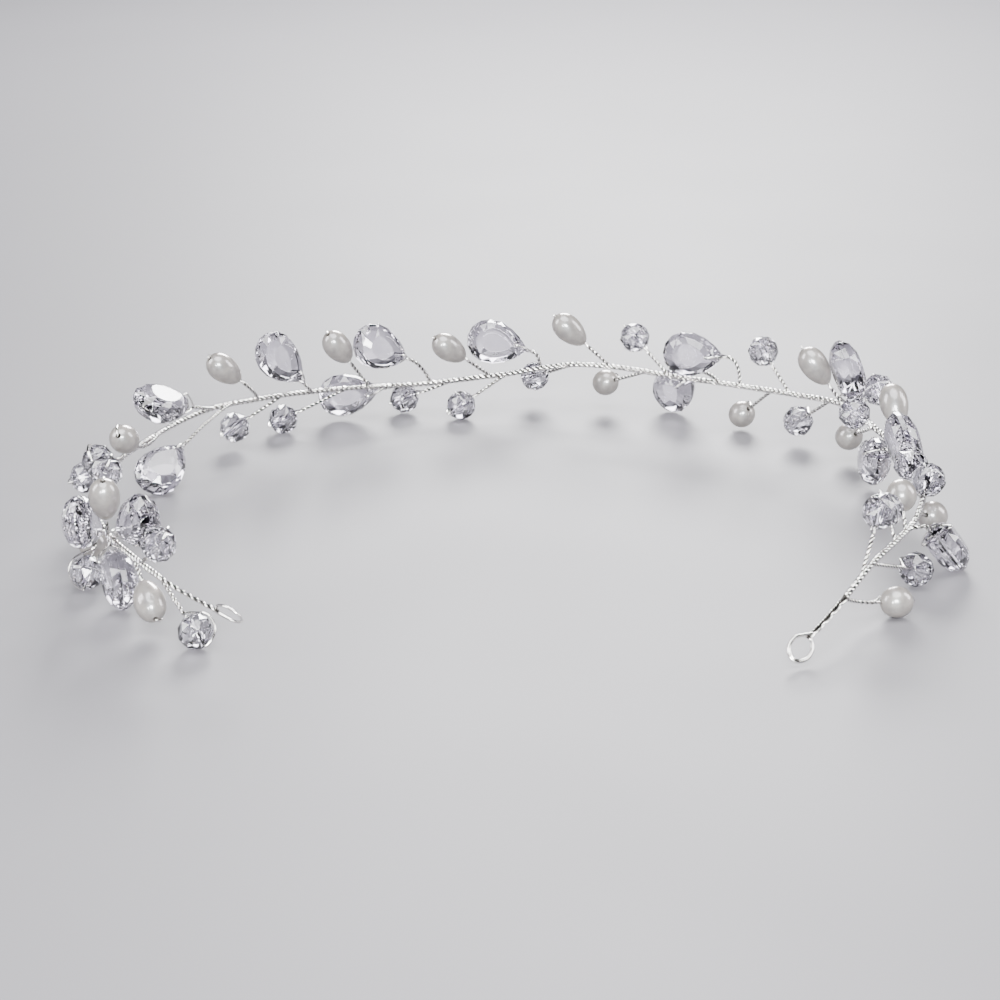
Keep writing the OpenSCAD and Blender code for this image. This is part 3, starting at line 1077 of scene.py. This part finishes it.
# The camera, fitted to the photograph: its place over the table in millimetres, how far it looks
# down and is turned about its own axis in degrees, and its lens for a 36 mm sensor
CAMERA_AT = (-0.8, -425.4, 163.5)
CAMERA_DOWN = 20.63
CAMERA_ROLL = -1.257
CAMERA_LENS = 90.65

# The round floor: its radius in metres, and the sides of its outline
FLOOR_RADIUS, FLOOR_SIDES = 6, 96

# Softboxes: place and size in millimetres, and power in watts. All look at one point over the
# middle of the table
LIGHT_AIM = (0, 0, 10)
SOFTBOXES = (
    ("key_softbox", (20, -620, 300), (250, 190), 14.0),
    ("second_softbox", (-230, -580, 200), (90, 150), 3.0),
    ("left_softbox", (-620, -40, 360), (260, 460), 6.0),
    ("right_softbox", (640, 60, 330), (260, 460), 6.0),
    ("back_softbox", (60, 640, 330), (300, 240), 13.0),
)

# The ceiling of light, which lights the whole floor alike: its strength in watts a square metre, and
# in degrees how wide it looks from the floor and how far it leans to the front
CEILING_LIGHT = 6.8
CEILING_WIDTH = 50
CEILING_LEAN = 12

# The studio round the table, from the horizon at 0 to straight overhead at 1
SKY = ((0.0, "#e2e2e6"), (0.05, "#b9b9be"), (0.2, "#2b2a30"), (1.0, "#0e0d11"))


def add_camera():
    down = math.radians(CAMERA_DOWN)
    roll = math.radians(CAMERA_ROLL)
    ahead = Vector((0, math.cos(down), -math.sin(down)))
    right = Vector((1, 0, 0))
    above = right.cross(ahead)
    x = math.cos(roll) * right + math.sin(roll) * above
    y = -math.sin(roll) * right + math.cos(roll) * above
    camera = bpy.data.objects.new("camera", bpy.data.cameras.new("camera"))
    bpy.context.scene.collection.objects.link(camera)
    turned = Matrix((x, y, -ahead)).transposed().to_4x4()
    camera.matrix_world = Matrix.Translation(Vector(CAMERA_AT) * MM) @ turned
    camera.data.sensor_width = 36
    camera.data.lens = CAMERA_LENS
    camera.data.clip_start = 10 * MM
    camera.data.clip_end = 20
    bpy.context.scene.camera = camera


def add_softbox(name, place, size, power, share):
    light = bpy.data.lights.new(name, "AREA")
    light.shape = "RECTANGLE"
    light.size, light.size_y = size[0] * MM, size[1] * MM
    light.energy = power * share
    softbox = bpy.data.objects.new(name, light)
    bpy.context.scene.collection.objects.link(softbox)
    softbox.location = Vector(place) * MM
    towards = Vector(LIGHT_AIM) * MM - softbox.location
    softbox.rotation_euler = towards.to_track_quat("-Z", "Y").to_euler()


def add_ceiling(share):
    light = bpy.data.lights.new("ceiling_light", "SUN")
    light.energy = CEILING_LIGHT * share
    light.angle = math.radians(CEILING_WIDTH)
    ceiling = bpy.data.objects.new("ceiling_light", light)
    bpy.context.scene.collection.objects.link(ceiling)
    ceiling.rotation_euler = (math.radians(CEILING_LEAN), 0, 0)


def studio_world():
    """A studio that is pale along the horizon and dark above it, so that cut glass has light and
    dark to bend."""
    world = bpy.data.worlds.new("studio")
    world.use_nodes = True
    tree = world.node_tree
    tree.nodes.clear()
    direction = add_node(tree, "ShaderNodeTexCoord").outputs["Generated"]
    height = add_node(tree, "ShaderNodeSeparateXYZ", {"Vector": direction})
    shade = add_node(tree, "ShaderNodeValToRGB", {"Fac": height.outputs["Z"]})
    set_stops(shade, [(height_at, linear(code)) for height_at, code in SKY])
    background = add_node(tree, "ShaderNodeBackground", {"Color": shade.outputs["Color"], "Strength": 1.0})
    output = add_node(tree, "ShaderNodeOutputWorld")
    tree.links.new(background.outputs["Background"], output.inputs["Surface"])
    return world


class HEADBAND_OT_stage(bpy.types.Operator):
    """Sets the camera, the pale floor and the soft light"""

    bl_idname = "headband.stage"
    bl_label = "Set the stage"
    bl_options = {"REGISTER", "UNDO"}

    def execute(self, context):
        settings = context.scene.headband_stage
        add_camera()
        bpy.ops.object.select_all(action="DESELECT")
        bpy.ops.mesh.primitive_circle_add(
            vertices=FLOOR_SIDES, radius=FLOOR_RADIUS, fill_type="NGON", location=(0, 0, 0)
        )
        floor = context.object
        floor.name = "floor"
        floor.data.materials.append(floor_material(settings))
        for name, place, size, power in SOFTBOXES:
            add_softbox(name, place, size, power, settings.light)
        add_ceiling(settings.light)
        context.scene.world = studio_world()
        return {"FINISHED"}


class HEADBAND_PT_panel(bpy.types.Panel):
    """The headband's settings and steps"""

    bl_idname = "HEADBAND_PT_panel"
    bl_label = "Hair vine headband"
    bl_space_type = "VIEW_3D"
    bl_region_type = "UI"
    bl_category = "Headband"

    def draw(self, context):
        for group, operators in PANEL_ROWS:
            box = self.layout.box()
            settings = getattr(context.scene, group)
            for name in settings.__annotations__:
                box.prop(settings, name)
            for operator in operators:
                box.operator(operator.bl_idname)


GROUPS = {
    "headband_stage": StageSettings,
    "headband_wire": WireSettings,
    "headband_glass": GlassSettings,
    "headband_pearls": PearlSettings,
}
PANEL_ROWS = (
    ("headband_stage", (HEADBAND_OT_stage,)),
    ("headband_wire", (HEADBAND_OT_stem, HEADBAND_OT_sprig_wires, HEADBAND_OT_eyes)),
    ("headband_glass", (HEADBAND_OT_crystals, HEADBAND_OT_drops)),
    ("headband_pearls", (HEADBAND_OT_pearls,)),
)
OPERATORS = [operator for _, operators in PANEL_ROWS for operator in operators]
CLASSES = (*GROUPS.values(), *OPERATORS, HEADBAND_PT_panel)


def register():
    for cls in CLASSES:
        bpy.utils.register_class(cls)
    for name, group in GROUPS.items():
        setattr(bpy.types.Scene, name, bpy.props.PointerProperty(type=group))


def unregister():
    for name in GROUPS:
        delattr(bpy.types.Scene, name)
    for cls in reversed(CLASSES):
        bpy.utils.unregister_class(cls)


def main():
    register()
    bpy.ops.headband.stage()
    bpy.ops.headband.stem()
    bpy.ops.headband.sprig_wires()
    bpy.ops.headband.eyes()
    bpy.ops.headband.crystals()
    bpy.ops.headband.drops()
    bpy.ops.headband.pearls()


if __name__ == "__main__":
    main()
